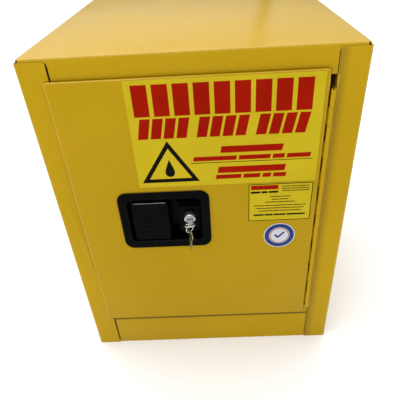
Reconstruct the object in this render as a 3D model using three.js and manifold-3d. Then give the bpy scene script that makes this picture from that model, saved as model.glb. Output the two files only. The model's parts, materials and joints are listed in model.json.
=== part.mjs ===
// A bench-top cabinet for flammable liquids: a double-walled steel box with a leak-tight well, one shelf,
// two capped vents and one door on a continuous hinge. A flush paddle latch works three bolts at once,
// and a key lock holds the latch shut.
//
// Millimetres, +Z up. The origin is at the centre of the base, and the door faces -Y. Every piece is
// modelled in a group whose y = 0 is the front face of the stiles, so that y is the depth into the cabinet.

import * as THREE from "three";
import { mergeVertices } from "three/addons/utils/BufferGeometryUtils.js";
import Module from "manifold-3d";

const wasm = await Module();
wasm.setup();

// ---------- driving dimensions ----------

const WIDTH = 444.5;
const DEPTH = 457.2;
const HEIGHT = 565.15;
const SHEET = 1.2; // thickness of the steel sheet
const AIR_SPACE = 38.1; // between the outer sheet and the liner
const GAP = 0.3; // between pieces that touch
const BEND = 2; // radius of a bend at the middle of the sheet
const LAP = SHEET + GAP; // how far a lapped sheet lies behind the one that covers it

const SIDE_X = WIDTH / 2;
const LAPPED_X = SIDE_X - LAP - BEND; // half width of a sheet lapped inside the sides' bends
const JAMB_X = SIDE_X - SHEET - AIR_SPACE; // inner face of the door opening's sides
const JAMB_DEPTH = AIR_SPACE;
const LINER_X = JAMB_X + SHEET; // outer face of the liner's sides
const LINER_FRONT = JAMB_DEPTH + GAP;
const LINER_BACK = DEPTH - SHEET - AIR_SPACE;
const HEADER_Z = 526; // bottom edge of the header
const HEADER_GAPS = { left: 1.9, right: 0.6 }; // open seams between the header and the stiles
const SILL_GAPS = { left: 1.7, right: 0.6 }; // width of the seams between the sill and the stiles
const SILL_SLOT_PAST = 1.2; // how far a seam's slot runs on behind its stile
const SILL_SLOT_END = 5; // what is left of the sill above and below the slots
const HEADER_NOTCH_Z = HEIGHT - 6.6; // top of those seams
const HEADER_NOTCH_CORNER = 3;
const WELL_DEPTH = 50.8;
const WELL_FLOOR_Z = SHEET + AIR_SPACE;
const SILL_Z = WELL_FLOOR_Z + WELL_DEPTH; // top edge of the sill
const STILE_TOP_Z = HEIGHT - 4.6;
const STILE_CORNER = 4; // radius of the stile's top inner corner
const TOP_ROLL = 3.5; // radius of the rolled edge round the top
const TOP_RELIEF = 4.5; // square notch at each corner of the top, where two folds meet
const TOP_FLANGE = 12;
const BACK_FLANGE = 16;
const BOTTOM_FLANGE = 15;

const DOOR_LEFT = -190.5;
const DOOR_RIGHT = 173.5;
const DOOR_BOTTOM = 76;
const DOOR_TOP = 535.3;
const DOOR_PROUD = 4; // how far the door's face stands in front of the stiles
const DOOR_LIP_BACK = -0.5; // depth at which the door's lip ends, just clear of the frame
const DOOR_CORNER = 3;
const DOOR_ROLL = 1.8;
const DOOR_CLEARANCE = 4; // between the door's inner box and the opening, above and below
const DOOR_SWING_CLEARANCE = 4; // and at the latch side
const DOOR_THICKNESS = 38;
const STICKER = 0.4; // thickness of a sticker
const STICKER_CORNER = 1.5;
const WARNING_STICKER = [-90, 168, 371, 533.5]; // left, right, bottom, top
const DATA_STICKER = [70, 167, 298.5, 369.5];
const ROUND_STICKER = { x: 120.6, z: 268, radius: 25 };

const HINGE_X = 178.9;
const HINGE_DEPTH = -3.5;
const HINGE_BOTTOM = 91.5;
const HINGE_TOP = 508.8;
const KNUCKLE_PITCH = 25.4;
const KNUCKLE_RADIUS = 3.25;
const KNUCKLE_BORE = 1.8;
const PIN_RADIUS = 1.5;
const LEAF = 1.25; // thickness of a hinge leaf
const LEAF_DEPTH = 26;

const LATCH_X = -58;
const LATCH_Z = 308.2;
const DISH_WIDTH = 139.7;
const DISH_HEIGHT = 108;
const DISH_CORNER = 15;
const DISH_RIM_FRONT = -6;
const MOUTH_WIDTH = 113;
const MOUTH_HEIGHT = 82;
const MOUTH_CORNER = 9;
const DISH_FLOOR = 17.5; // depth of the front of the dish's floor
const DISH_WALL = 1.8;
const DISH_DRAFT = 2.5; // how much the dish narrows on each side from mouth to floor

const PADDLE_AXIS_X = -109;
const PADDLE_AXIS_DEPTH = 2;
const PADDLE_RIGHT = -52.5;
const PADDLE_BOTTOM = LATCH_Z - 38;
const PADDLE_TOP = LATCH_Z + 33;
const PADDLE_FRONT = -4.5;
const PADDLE_THICKNESS = 4.5;
const TAIL_BOTTOM = LATCH_Z + 8;
const TAIL_TOP = LATCH_Z + 26;
const TAIL_END = 25.4; // depth that the paddle's tail reaches
const TAIL_THICKNESS = 3;
const TAIL_SWEEP = 12.5; // room for the tail's swing, towards the lock
const SPRING_BOTTOM = LATCH_Z - 12;
const SPRING_TOP = LATCH_Z + 4;

const HUB_FRONT = 21.8;
const HUB_THICKNESS = 2.5;
const HUB_PIN_CIRCLE = 22;
const HUB_PIN_RADIUS = 3;
const HUB_PIN_END = 30.8;
const HUB_HALF_TURN = (16 * Math.PI) / 180; // the hub turns this far either side of square
const STUD_RADIUS = 4;
const STUD_END = 26.2;
const HUB_ARM = 10; // width of a hub arm
const BAR_FRONT = 27; // depth of the bolt bar and of the rods' flat eyes
const BAR_THICKNESS = 3;
const ROD_RADIUS = 3.5;
const ROD_HOLE = 5.5;
const ROD_DEPTH = BAR_FRONT + BAR_THICKNESS / 2;
const ROD_GUIDE_NECK = ROD_RADIUS + 2.4;
const ROD_GUIDE_FLANGE = 8;
const BOLT_TIP_X = -190.5;
const BOLT_HEIGHT = 15;
const BOLT_HOLE_CLEARANCE = 2.2;
const ROD_REACH = 10.3; // how far a rod goes past the edge of the opening

const LOCK_X = -20;
const LOCK_Z = 309.3;
const LOCK_RADIUS = 9.4;
const LOCK_FACE_RADIUS = 7.4;
const LOCK_SHOULDER = 5.5; // how far back the shoulder reaches
const LOCK_SHOULDER_STEPS = 5;
const LOCK_FRONT = -7.6;
const LOCK_END = 21.9;
const PLUG_RADIUS = 6;
const BOSS_X = LOCK_X - 1.5;
const BOSS_Z = LATCH_Z - 5;
const BOSS_FRONT = 3;
const BOSS_STEP = 5; // from the boss's face back to its wider foot
const KEY_TILT = (-6 * Math.PI) / 180; // the key isn't quite level
const KEY_THICKNESS = 2;
const KEY_SHOULDER = -9; // depth of the key's shoulder, in front of the plug
const BOW_LENGTH = 15.8;
const BOW_WIDTH = 18;
const BLADE_LENGTH = 23;
const BLADE_WIDTH = 8;
const BOW_WEB = 1.8; // the strip of metal outside the key's ring hole
const RING_HOLE_WIDTH = 12;
const RING_HOLE_LENGTH = 5;
const RING_RADIUS = 6.4;
const RING_WIRE = 0.6;
const RING_HANG = 0.9; // between the ring and the key it hangs on
const RING_TWIST = (50 * Math.PI) / 180; // how far the ring is turned about the vertical
const SPARE_TWIST = (15 * Math.PI) / 180; // and the spare key, beyond the ring
const CAM_REST = (156 * Math.PI) / 180; // the cam's direction, clockwise from straight up
const CAM_LENGTH = 20;
const CAM_WIDTH = 8;
const CAM_THICKNESS = 2;
const CAM_SCREW = 1.9; // radius of the screw's shank

const SHELF_TOP = 300;
const SHELF_FLANGE = 18;
const CLIP_DEPTHS = { front: 90, rear: 370 };
const CLIP_PITCH = 101.6;
const CLIP_HOOK_Z = 271;
const CLIP_HALF_WIDTH = 12;
const CLIP_LEG = 1.5;

const VENT_BORE = 26;
const VENT_TUBE = 30;
const VENT_FLANGE = 38;
const VENT_DEPTH = DEPTH / 2;
const VENT_HEIGHTS = { left: 470, right: 140 };

const GROUND_DEPTH = 410;
const GROUND_Z = 40;
const GROUND_SCREW = 3; // radius of the screw's shank
const GROUND_HEX = 6;

// ---------- materials ----------

function finish(color, roughness, metalness) {
  return () => new THREE.MeshStandardMaterial({ color, roughness, metalness });
}

const paint = finish(0xd9a91a, 0.35, 0);
const zinc = finish(0xb4b8bb, 0.45, 0.9);
const steel = finish(0x8f9396, 0.4, 0.95);
const chrome = finish(0xd0d3d6, 0.15, 1);
const blackPlastic = finish(0x101012, 0.45, 0);
const brass = finish(0xb98f42, 0.35, 0.95);
const rubber = finish(0x1b1b1b, 0.85, 0);
const stickerYellow = finish(0xe6c52c, 0.4, 0);
const stickerWhite = finish(0xe9ecf0, 0.35, 0);

// ---------- solids ----------

function solid(geometry) {
  const bare = new THREE.BufferGeometry();
  bare.setAttribute("position", geometry.getAttribute("position"));
  bare.setIndex(geometry.index);
  const merged = mergeVertices(bare, 1e-3);
  const mesh = new wasm.Mesh({
    numProp: 3,
    vertProperties: merged.getAttribute("position").array,
    triVerts: new Uint32Array(merged.index.array),
  });
  return new wasm.Manifold(mesh);
}

function geometryOf(body) {
  const mesh = body.getMesh();
  const geometry = new THREE.BufferGeometry();
  geometry.setAttribute("position", new THREE.BufferAttribute(mesh.vertProperties.slice(), 3));
  geometry.setIndex(new THREE.BufferAttribute(mesh.triVerts.slice(), 1));
  geometry.computeVertexNormals();
  return geometry;
}

function union(bodies) {
  return bodies.reduce((whole, body) => whole.add(body));
}

function cut(body, tools) {
  return tools.reduce((rest, tool) => rest.subtract(tool), body);
}

// A box between two x, two y and two z, each pair in either order.
function block(x0, x1, y0, y1, z0, z1) {
  const geometry = new THREE.BoxGeometry(Math.abs(x1 - x0), Math.abs(y1 - y0), Math.abs(z1 - z0));
  geometry.translate((x0 + x1) / 2, (y0 + y1) / 2, (z0 + z1) / 2);
  return solid(geometry);
}

// An outline drawn in the plane across an axis, and drawn out along that axis.
// Across x the outline is (y, z), across y it is (x, z), and across z it is (x, y).
function prism(outline, axis, end, otherEnd, curveSegments = 6) {
  const from = Math.min(end, otherEnd);
  const to = Math.max(end, otherEnd);
  const geometry = new THREE.ExtrudeGeometry(outline, {
    depth: to - from,
    bevelEnabled: false,
    curveSegments,
  });
  if (axis === "x") {
    const turn = new THREE.Matrix4().makeBasis(
      new THREE.Vector3(0, 1, 0),
      new THREE.Vector3(0, 0, 1),
      new THREE.Vector3(1, 0, 0),
    );
    geometry.applyMatrix4(turn);
    geometry.translate(from, 0, 0);
  } else if (axis === "y") {
    geometry.rotateX(Math.PI / 2);
    geometry.translate(0, to, 0);
  } else {
    geometry.translate(0, 0, from);
  }
  return solid(geometry);
}

function polygon(points) {
  return new THREE.Shape(points.map(([u, v]) => new THREE.Vector2(u, v)));
}

function circle(u, v, radius) {
  const shape = new THREE.Shape();
  shape.absarc(u, v, radius, 0, 2 * Math.PI, false);
  return shape;
}

// A round bar or hole along an axis, through the point (u, v) of the plane across it.
function bar(axis, u, v, radius, from, to, sides = 16) {
  return prism(circle(u, v, radius), axis, from, to, sides / 2);
}

function roundedRectangle(u, v, width, height, radius) {
  const shape = new THREE.Shape();
  const du = width / 2 - radius;
  const dv = height / 2 - radius;
  shape.absarc(u + du, v + dv, radius, 0, Math.PI / 2, false);
  shape.absarc(u - du, v + dv, radius, Math.PI / 2, Math.PI, false);
  shape.absarc(u - du, v - dv, radius, Math.PI, 1.5 * Math.PI, false);
  shape.absarc(u + du, v - dv, radius, 1.5 * Math.PI, 2 * Math.PI, false);
  shape.closePath();
  return shape;
}

// The outline of a bent sheet, seen along its bends: path is the middle of the sheet.
function bentSheet(path, bendRadius = BEND, steps = 4) {
  const corners = path.map(([u, v]) => new THREE.Vector2(u, v));
  const left = [];
  const right = [];
  const place = (point, normal) => {
    left.push(point.clone().addScaledVector(normal, SHEET / 2));
    right.unshift(point.clone().addScaledVector(normal, -SHEET / 2));
  };
  const direction = (i) => corners[i + 1].clone().sub(corners[i]).normalize();
  const leftOf = (d) => new THREE.Vector2(-d.y, d.x);
  place(corners[0], leftOf(direction(0)));
  for (let i = 1; i < corners.length - 1; i++) {
    const before = direction(i - 1);
    const after = direction(i);
    const turn = Math.atan2(before.cross(after), before.dot(after));
    const side = Math.sign(turn);
    const start = corners[i].clone().addScaledVector(before, -bendRadius * Math.tan(Math.abs(turn) / 2));
    const centre = start.addScaledVector(leftOf(before), side * bendRadius);
    for (let k = 0; k <= steps; k++) {
      const normal = leftOf(before).rotateAround(new THREE.Vector2(), (turn * k) / steps);
      place(centre.clone().addScaledVector(normal, -side * bendRadius), normal);
    }
  }
  place(corners.at(-1), leftOf(direction(corners.length - 2)));
  return new THREE.Shape([...left, ...right]);
}

// A turned piece about the y axis: profile is its closed outline as [radius, y] points.
function turned(profile, segments = 28) {
  const points = profile.map(([radius, y]) => new THREE.Vector2(radius, y));
  if (THREE.ShapeUtils.area(points) < 0) points.reverse();
  return solid(new THREE.LatheGeometry([...points, points[0]], segments));
}

// ---------- scene graph ----------

const cabinet = new THREE.Group();
const frame = new THREE.Group(); // y = 0 is the front of the stiles
frame.position.y = -DEPTH / 2;
cabinet.add(frame);

function add(group, name, body, material) {
  const mesh = new THREE.Mesh(geometryOf(body), material());
  mesh.name = name;
  group.add(mesh);
  return mesh;
}

function groupAt(parent, x, y, z) {
  const group = new THREE.Group();
  group.position.set(x, y, z);
  parent.add(group);
  return group;
}

// ---------- where the latch's bolts leave the door ----------

const rodOffset = (HUB_PIN_CIRCLE * (1 + Math.cos(HUB_HALF_TURN))) / 2;
const boltZ = LATCH_Z + rodOffset;
const topRodX = LATCH_X + rodOffset;
const bottomRodX = LATCH_X - rodOffset;
const pinRise = HUB_PIN_CIRCLE * Math.sin(HUB_HALF_TURN);

// ---------- outer shell ----------

function buildOuterSide(sign) {
  const middle = SHEET / 2;
  const path = [
    [sign * (JAMB_X + middle), JAMB_DEPTH],
    [sign * (JAMB_X + middle), middle],
    [sign * (SIDE_X - middle), middle],
    [sign * (SIDE_X - middle), DEPTH - middle],
    [sign * (SIDE_X - BACK_FLANGE), DEPTH - middle],
  ];
  let panel = prism(bentSheet(path), "z", 0, STILE_TOP_Z);
  // In front of the header and the sill the stile is a flat flange, without its return.
  const bendEnd = JAMB_X + BEND + SHEET / 2;
  for (const [from, to] of [
    [HEADER_Z - GAP, STILE_TOP_Z],
    [0, SILL_Z + GAP],
  ]) {
    const bentPart = block(
      sign * (JAMB_X - 1),
      sign * bendEnd,
      -1,
      JAMB_DEPTH + 1,
      from - 0.01,
      to + 0.01,
    );
    const flatPart = block(sign * JAMB_X, sign * (bendEnd + 0.1), 0, SHEET, from, to);
    panel = panel.subtract(bentPart).add(flatPart);
  }
  const cornerX = sign * (JAMB_X + STILE_CORNER);
  const cornerZ = STILE_TOP_Z - STILE_CORNER;
  const cornerBlock = block(sign * (JAMB_X - 1), cornerX, -1, SHEET + 1, cornerZ, STILE_TOP_Z + 1);
  const cornerRound = bar("y", cornerX, cornerZ, STILE_CORNER, -2, SHEET + 2);
  return panel.subtract(cornerBlock.subtract(cornerRound));
}

function ventHole(sign, z) {
  return bar("x", VENT_DEPTH, z, VENT_TUBE + GAP, sign * (JAMB_X - 5), sign * (SIDE_X + 5), 32);
}

// A block centred on the bolt, with a clearance round it, between two x.
function aroundBolt(x0, x1, clearance) {
  const halfHeight = BOLT_HEIGHT / 2 + clearance;
  return block(
    x0,
    x1,
    BAR_FRONT - clearance,
    BAR_FRONT + BAR_THICKNESS + clearance,
    boltZ - halfHeight,
    boltZ + halfHeight,
  );
}

const boltHole = aroundBolt(-JAMB_X - 6, -JAMB_X + 2, BOLT_HOLE_CLEARANCE);
const groundHole = bar("x", GROUND_DEPTH, GROUND_Z, GROUND_SCREW + GAP, -SIDE_X - 3, -SIDE_X + 5, 12);

const leftHoles = [ventHole(-1, VENT_HEIGHTS.left), boltHole, groundHole];
add(frame, "outer_side_left", cut(buildOuterSide(-1), leftHoles), paint);
add(frame, "outer_side_right", buildOuterSide(1).subtract(ventHole(1, VENT_HEIGHTS.right)), paint);

// A block round the cabinet's plan, set in by an inset, whose upper edges are rolled to a radius.
function rolledBlock(inset, top, radius) {
  const width = WIDTH - 2 * (inset + radius);
  const depth = DEPTH - 2 * (inset + radius);
  const height = 2 * TOP_FLANGE;
  const geometry = new THREE.ExtrudeGeometry(roundedRectangle(0, DEPTH / 2, width, depth, 1), {
    depth: height,
    bevelEnabled: true,
    bevelSize: radius,
    bevelThickness: radius,
    bevelSegments: 4,
    curveSegments: 2,
  });
  geometry.translate(0, 0, top - radius - height);
  return solid(geometry);
}

// Where a flange that goes back from a lapped sheet is cut off, so that it fits between the jambs.
function pastJamb(sign, z0, z1) {
  return block(sign * LINER_X, sign * WIDTH, LAP + SHEET + 0.1, JAMB_DEPTH + 1, z0, z1);
}

// The front sheet's notch behind a stile: its edge shows as a seam beside the stile.
function headerNotch(sign, seam) {
  const edge = JAMB_X - seam;
  const height = HEADER_NOTCH_Z - HEADER_Z + 20;
  const outline = roundedRectangle(
    sign * (edge + 25),
    HEADER_NOTCH_Z - height / 2,
    50,
    height,
    HEADER_NOTCH_CORNER,
  );
  return prism(outline, "y", LAP - 1, LAP + SHEET + 0.15, 3);
}

// The open corner where two folded edges of the top meet: ends are -1 or +1 across and along.
function cornerRelief(across, along) {
  const x = across * (SIDE_X - LAP);
  const y = DEPTH / 2 + along * (DEPTH / 2 - LAP);
  const low = HEIGHT - TOP_FLANGE - 1;
  return block(x - across * TOP_RELIEF, x + across, y - along * TOP_RELIEF, y + along, low, HEIGHT - 1.5);
}

// The narrow open seam between the sill's face and a front stile.
function sillSlot(sign, seam) {
  const inner = sign * (JAMB_X - seam);
  const outer = sign * (JAMB_X + SILL_SLOT_PAST);
  const [x0, x1] = inner < outer ? [inner, outer] : [outer, inner];
  return block(x0, x1, LAP - 1, LAP + SHEET + 0.15, SILL_SLOT_END, SILL_Z - SILL_SLOT_END);
}

// The top's edges roll down inside the sides and the back, and at the front they go on down as the header.
function buildTop() {
  const low = HEIGHT - TOP_FLANGE;
  const outside = rolledBlock(LAP, HEIGHT, TOP_ROLL);
  const inside = rolledBlock(LAP + SHEET, HEIGHT - SHEET, TOP_ROLL - SHEET);
  const below = block(-WIDTH, WIDTH, -10, DEPTH + 10, 0, low);
  const pan = cut(outside, [inside, below]);
  const middle = SHEET / 2;
  const path = [
    [LAP + middle, low + 2],
    [LAP + middle, HEADER_Z + middle],
    [JAMB_DEPTH, HEADER_Z + middle],
  ];
  const headerEnd = SIDE_X - LAP - TOP_ROLL - 1;
  const header = prism(bentSheet(path), "x", -headerEnd, headerEnd);
  const rodHole = bar("z", topRodX, ROD_DEPTH, ROD_HOLE, HEADER_Z - 5, HEADER_Z + 5);
  return cut(pan.add(header), [
    pastJamb(-1, HEADER_Z - 1, HEADER_Z + 8),
    pastJamb(1, HEADER_Z - 1, HEADER_Z + 8),
    headerNotch(-1, HEADER_GAPS.left),
    headerNotch(1, HEADER_GAPS.right),
    cornerRelief(-1, -1),
    cornerRelief(1, -1),
    cornerRelief(-1, 1),
    cornerRelief(1, 1),
    rodHole,
  ]);
}

add(frame, "outer_top", buildTop(), paint);

function buildSill() {
  const middle = SHEET / 2;
  const path = [
    [JAMB_DEPTH, SILL_Z - middle],
    [LAP + middle, SILL_Z - middle],
    [LAP + middle, 0],
  ];
  const face = prism(bentSheet(path), "x", -LAPPED_X, LAPPED_X);
  const rodHole = bar("z", bottomRodX, ROD_DEPTH, ROD_HOLE, SILL_Z - 5, SILL_Z + 5);
  return cut(face, [
    pastJamb(-1, SILL_Z - 8, SILL_Z + 1),
    pastJamb(1, SILL_Z - 8, SILL_Z + 1),
    sillSlot(-1, SILL_GAPS.left),
    sillSlot(1, SILL_GAPS.right),
    rodHole,
  ]);
}

add(frame, "sill_front", buildSill(), paint);

const backTop = HEIGHT - TOP_FLANGE - GAP;
const backPanel = block(-LAPPED_X, LAPPED_X, DEPTH - LAP - SHEET, DEPTH - LAP, 0, backTop);
add(frame, "outer_back", backPanel, paint);

const bottomHalf = SIDE_X - LAP - SHEET / 2;
const bottomPath = [
  [-bottomHalf, BOTTOM_FLANGE],
  [-bottomHalf, SHEET / 2],
  [bottomHalf, SHEET / 2],
  [bottomHalf, BOTTOM_FLANGE],
];
const bottomPan = prism(bentSheet(bottomPath), "y", LAP + SHEET + GAP, DEPTH - LAP - SHEET - GAP);
add(frame, "outer_bottom", bottomPan, paint);

// ---------- inner shell ----------

function clipSlots(sign) {
  const slots = [];
  for (const depth of Object.values(CLIP_DEPTHS)) {
    for (let row = -1; row <= 1; row++) {
      const z = CLIP_HOOK_Z + row * CLIP_PITCH;
      const x = sign * JAMB_X;
      const half = CLIP_HALF_WIDTH - 3;
      slots.push(block(x - 5, x + 5, depth - half, depth + half, z - 4, z + 4));
    }
  }
  return slots;
}

function linerSide(sign, ventZ) {
  const sheet = block(
    sign * JAMB_X,
    sign * LINER_X,
    LINER_FRONT,
    LINER_BACK - GAP,
    SILL_Z + GAP,
    HEADER_Z - GAP,
  );
  return cut(sheet, [...clipSlots(sign), ventHole(sign, ventZ)]);
}

add(frame, "liner_side_left", linerSide(-1, VENT_HEIGHTS.left), paint);
add(frame, "liner_side_right", linerSide(1, VENT_HEIGHTS.right), paint);
const linerEnd = LINER_BACK + SHEET;
const linerTop = block(-LINER_X, LINER_X, LINER_FRONT, linerEnd, HEADER_Z, HEADER_Z + SHEET);
add(frame, "liner_top", linerTop, paint);
const linerBack = block(-LINER_X, LINER_X, LINER_BACK, linerEnd, SILL_Z + GAP, HEADER_Z - GAP);
add(frame, "liner_back", linerBack, paint);

function buildSump() {
  const outside = block(-LINER_X, LINER_X, LINER_FRONT, linerEnd, WELL_FLOOR_Z - SHEET, SILL_Z);
  const inside = block(-JAMB_X, JAMB_X, LINER_FRONT + SHEET, LINER_BACK, WELL_FLOOR_Z, SILL_Z + 1);
  return outside.subtract(inside);
}

add(frame, "sump_pan", buildSump(), paint);

// ---------- shelf ----------

function buildShelf() {
  const half = JAMB_X - CLIP_LEG - GAP - 0.8;
  const front = LINER_FRONT + 22;
  const back = LINER_BACK - 12;
  const outside = block(-half, half, front, back, SHELF_TOP - SHELF_FLANGE, SHELF_TOP);
  const inside = block(
    -half + SHEET,
    half - SHEET,
    front + SHEET,
    back - SHEET,
    SHELF_TOP - SHELF_FLANGE - 1,
    SHELF_TOP - SHEET,
  );
  return outside.subtract(inside);
}

add(frame, "shelf", buildShelf(), zinc);

function buildClip(sign, depth) {
  const seat = SHELF_TOP - SHELF_FLANGE - GAP;
  const wall = JAMB_X - GAP;
  const reach = 15;
  const foot = CLIP_HOOK_Z - 9;
  const path = [
    [wall, foot],
    [wall, seat],
    [wall - reach, seat],
    [wall - reach, seat - CLIP_LEG],
    [wall - CLIP_LEG, seat - CLIP_LEG],
    [wall - CLIP_LEG, foot],
  ];
  const outline = polygon(path.map(([x, z]) => [sign * x, z]));
  const angle = prism(outline, "y", depth - CLIP_HALF_WIDTH, depth + CLIP_HALF_WIDTH);
  const hookHalf = CLIP_HALF_WIDTH - 4;
  const hook = block(
    sign * (wall - 0.5),
    sign * (LINER_X + 3),
    depth - hookHalf,
    depth + hookHalf,
    CLIP_HOOK_Z - 3,
    CLIP_HOOK_Z - 3 + CLIP_LEG,
  );
  return angle.add(hook);
}

for (const [place, depth] of Object.entries(CLIP_DEPTHS)) {
  add(frame, "shelf_clip_" + place + "_left", buildClip(-1, depth), zinc);
  add(frame, "shelf_clip_" + place + "_right", buildClip(1, depth), zinc);
}

// ---------- vents ----------

// A vent lies along its group's y axis, which points out of the cabinet's side from y = 0.
function buildVent(sign, place, z) {
  const vent = groupAt(frame, sign * SIDE_X, VENT_DEPTH, z);
  vent.rotation.z = (-sign * Math.PI) / 2;
  const flangeTop = 2.8;
  const inside = -(SHEET + AIR_SPACE + 2);
  const chamfer = 1;
  const fitting = turned([
    [VENT_BORE, inside],
    [VENT_TUBE, inside],
    [VENT_TUBE, GAP],
    [VENT_FLANGE, GAP],
    [VENT_FLANGE, flangeTop - chamfer],
    [VENT_FLANGE - chamfer, flangeTop],
    [VENT_BORE, flangeTop],
  ]);
  add(vent, "vent_fitting_" + place, fitting, steel);
  const screenRadius = VENT_BORE - GAP;
  const screenRim = screenRadius - 3;
  const screenFront = inside + 4;
  const screenBack = screenFront + 1.2;
  const arrester = turned([
    [0, screenFront],
    [screenRim, screenFront],
    [screenRim, inside + 1],
    [screenRadius, inside + 1],
    [screenRadius, inside + 8],
    [screenRim, inside + 8],
    [screenRim, screenBack],
    [0, screenBack],
  ]);
  add(vent, "flame_arrester_" + place, arrester, brass);
  const gasketTop = flangeTop + GAP + 1.4;
  const gasketBore = VENT_BORE + GAP;
  const capRadius = 32;
  const gasket = turned([
    [gasketBore, flangeTop + GAP],
    [capRadius - 1, flangeTop + GAP],
    [capRadius - 1, gasketTop],
    [gasketBore, gasketTop],
  ]);
  add(vent, "vent_gasket_" + place, gasket, rubber);
  const headBottom = gasketTop + GAP;
  const headTop = headBottom + 6;
  const dishBottom = headTop - 7;
  const neckEnd = -9.4;
  const neckRadius = VENT_BORE - 0.5;
  const neckBore = neckRadius - 2.5;
  const head = turned([
    [0, dishBottom - 2],
    [neckBore, dishBottom - 2],
    [neckBore, neckEnd],
    [neckRadius, neckEnd],
    [neckRadius, headBottom],
    [capRadius, headBottom],
    [capRadius, headTop - chamfer],
    [capRadius - chamfer, headTop],
    [17, headTop],
    [15, dishBottom],
    [0, dishBottom],
  ]);
  const grip = block(-16, 16, dishBottom - 1, headTop - 1, -3.5, 3.5);
  add(vent, "vent_cap_" + place, head.add(grip), steel);
}

buildVent(-1, "left", VENT_HEIGHTS.left);
buildVent(1, "right", VENT_HEIGHTS.right);

// ---------- earthing screw, through the left side near the back ----------

const hexHeight = 4;
const screwSeat = -SIDE_X - GAP;
const screwHead = bar("x", GROUND_DEPTH, GROUND_Z, GROUND_HEX, screwSeat - hexHeight, screwSeat, 6);
const screwShank = bar("x", GROUND_DEPTH, GROUND_Z, GROUND_SCREW, -SIDE_X - 1, -SIDE_X + 9, 12);
add(frame, "ground_screw", screwHead.add(screwShank), brass);
const nutSeat = -SIDE_X + SHEET + GAP;
const nutBody = bar("x", GROUND_DEPTH, GROUND_Z, GROUND_HEX, nutSeat, nutSeat + hexHeight, 6);
const nutBore = bar("x", GROUND_DEPTH, GROUND_Z, GROUND_SCREW + GAP, -SIDE_X, -SIDE_X + 10, 12);
add(frame, "ground_nut", nutBody.subtract(nutBore), brass);

// ---------- strike plate, behind the latch-side jamb ----------

const strikeBack = -JAMB_X - SHEET - GAP;
const strikeHalf = 30;
const strike = block(strikeBack - 1.5, strikeBack, 10, 36, boltZ - strikeHalf, boltZ + strikeHalf);
add(frame, "strike_plate", strike.subtract(boltHole), steel);

// ---------- continuous hinge ----------

// The knuckles from the top down: the lowest one is what is left of the hinge's length.
const knuckleSpans = [];
for (let top = HINGE_TOP; top > HINGE_BOTTOM; top -= KNUCKLE_PITCH) {
  knuckleSpans.push([Math.max(top - KNUCKLE_PITCH, HINGE_BOTTOM) + GAP / 2, top - GAP / 2]);
}

// side is -1 for the leaf on the door and +1 for the leaf on the jamb.
function buildLeaf(side) {
  const outerFace = side < 0 ? DOOR_RIGHT + GAP : JAMB_X - GAP;
  const innerFace = outerFace - side * LEAF;
  const plate = block(outerFace, innerFace, 1, LEAF_DEPTH, HINGE_BOTTOM, HINGE_TOP);
  const neck = polygon([
    [outerFace, 3.6],
    [outerFace, 1.4],
    [HINGE_X + side * 2.9, HINGE_DEPTH + 0.9],
    [HINGE_X + side * 1.4, HINGE_DEPTH + 2.6],
    [innerFace, 3.6],
  ]);
  const ring = circle(HINGE_X, HINGE_DEPTH, KNUCKLE_RADIUS);
  const bore = bar("z", HINGE_X, HINGE_DEPTH, KNUCKLE_BORE, HINGE_BOTTOM - 1, HINGE_TOP + 1, 12);
  const ownSpans = knuckleSpans.filter((_, i) => (i % 2 === 1) === side < 0);
  const knuckles = ownSpans.flatMap(([from, to]) => [
    prism(ring, "z", from, to, 7),
    prism(neck, "z", from, to),
  ]);
  return union([plate, ...knuckles]).subtract(bore);
}

add(frame, "hinge_leaf_frame", buildLeaf(1), paint);
const pin = bar("z", HINGE_X, HINGE_DEPTH, PIN_RADIUS, HINGE_BOTTOM + 0.5, HINGE_TOP - 0.5, 12);
add(frame, "hinge_pin", pin, steel);

const door = groupAt(frame, 0, 0, 0);
add(door, "hinge_leaf_door", buildLeaf(-1), paint);

// ---------- door ----------

const boxLeft = -(JAMB_X - DOOR_SWING_CLEARANCE);
const boxRight = DOOR_RIGHT - SHEET - GAP;
const boxBottom = SILL_Z + DOOR_CLEARANCE;
const boxTop = HEADER_Z - DOOR_CLEARANCE;

function buildDoorSkin() {
  const width = DOOR_RIGHT - DOOR_LEFT;
  const height = DOOR_TOP - DOOR_BOTTOM;
  const x = (DOOR_LEFT + DOOR_RIGHT) / 2;
  const z = (DOOR_BOTTOM + DOOR_TOP) / 2;
  const inset = (by) => roundedRectangle(x, z, width - 2 * by, height - 2 * by, DOOR_CORNER - by);
  const faceWithRoll = new THREE.ExtrudeGeometry(inset(DOOR_ROLL), {
    depth: 2 * DOOR_PROUD,
    bevelEnabled: true,
    bevelSize: DOOR_ROLL,
    bevelThickness: DOOR_ROLL,
    bevelSegments: 3,
    curveSegments: 3,
  });
  faceWithRoll.rotateX(Math.PI / 2);
  faceWithRoll.translate(0, -DOOR_PROUD + DOOR_ROLL + 2 * DOOR_PROUD, 0);
  const beyondLip = block(-WIDTH, WIDTH, DOOR_LIP_BACK, 4 * DOOR_PROUD, 0, HEIGHT);
  const hollow = prism(inset(SHEET), "y", -DOOR_PROUD + SHEET, 2, 2);
  const dishWidth = MOUTH_WIDTH + 2 * DISH_WALL;
  const dishHeight = MOUTH_HEIGHT + 2 * DISH_WALL;
  const dishOutline = roundedRectangle(LATCH_X, LATCH_Z, dishWidth + 1, dishHeight + 1, MOUTH_CORNER + 1);
  const dishHole = prism(dishOutline, "y", -DOOR_PROUD - 1, 0, 3);
  const faceBack = -DOOR_PROUD + SHEET / 2;
  const edge = block(DOOR_RIGHT - SHEET, DOOR_RIGHT, faceBack, LEAF_DEPTH, boxBottom, boxTop);
  return cut(solid(faceWithRoll), [beyondLip, hollow, dishHole]).add(edge);
}

add(door, "door_skin", buildDoorSkin(), paint);

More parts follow.
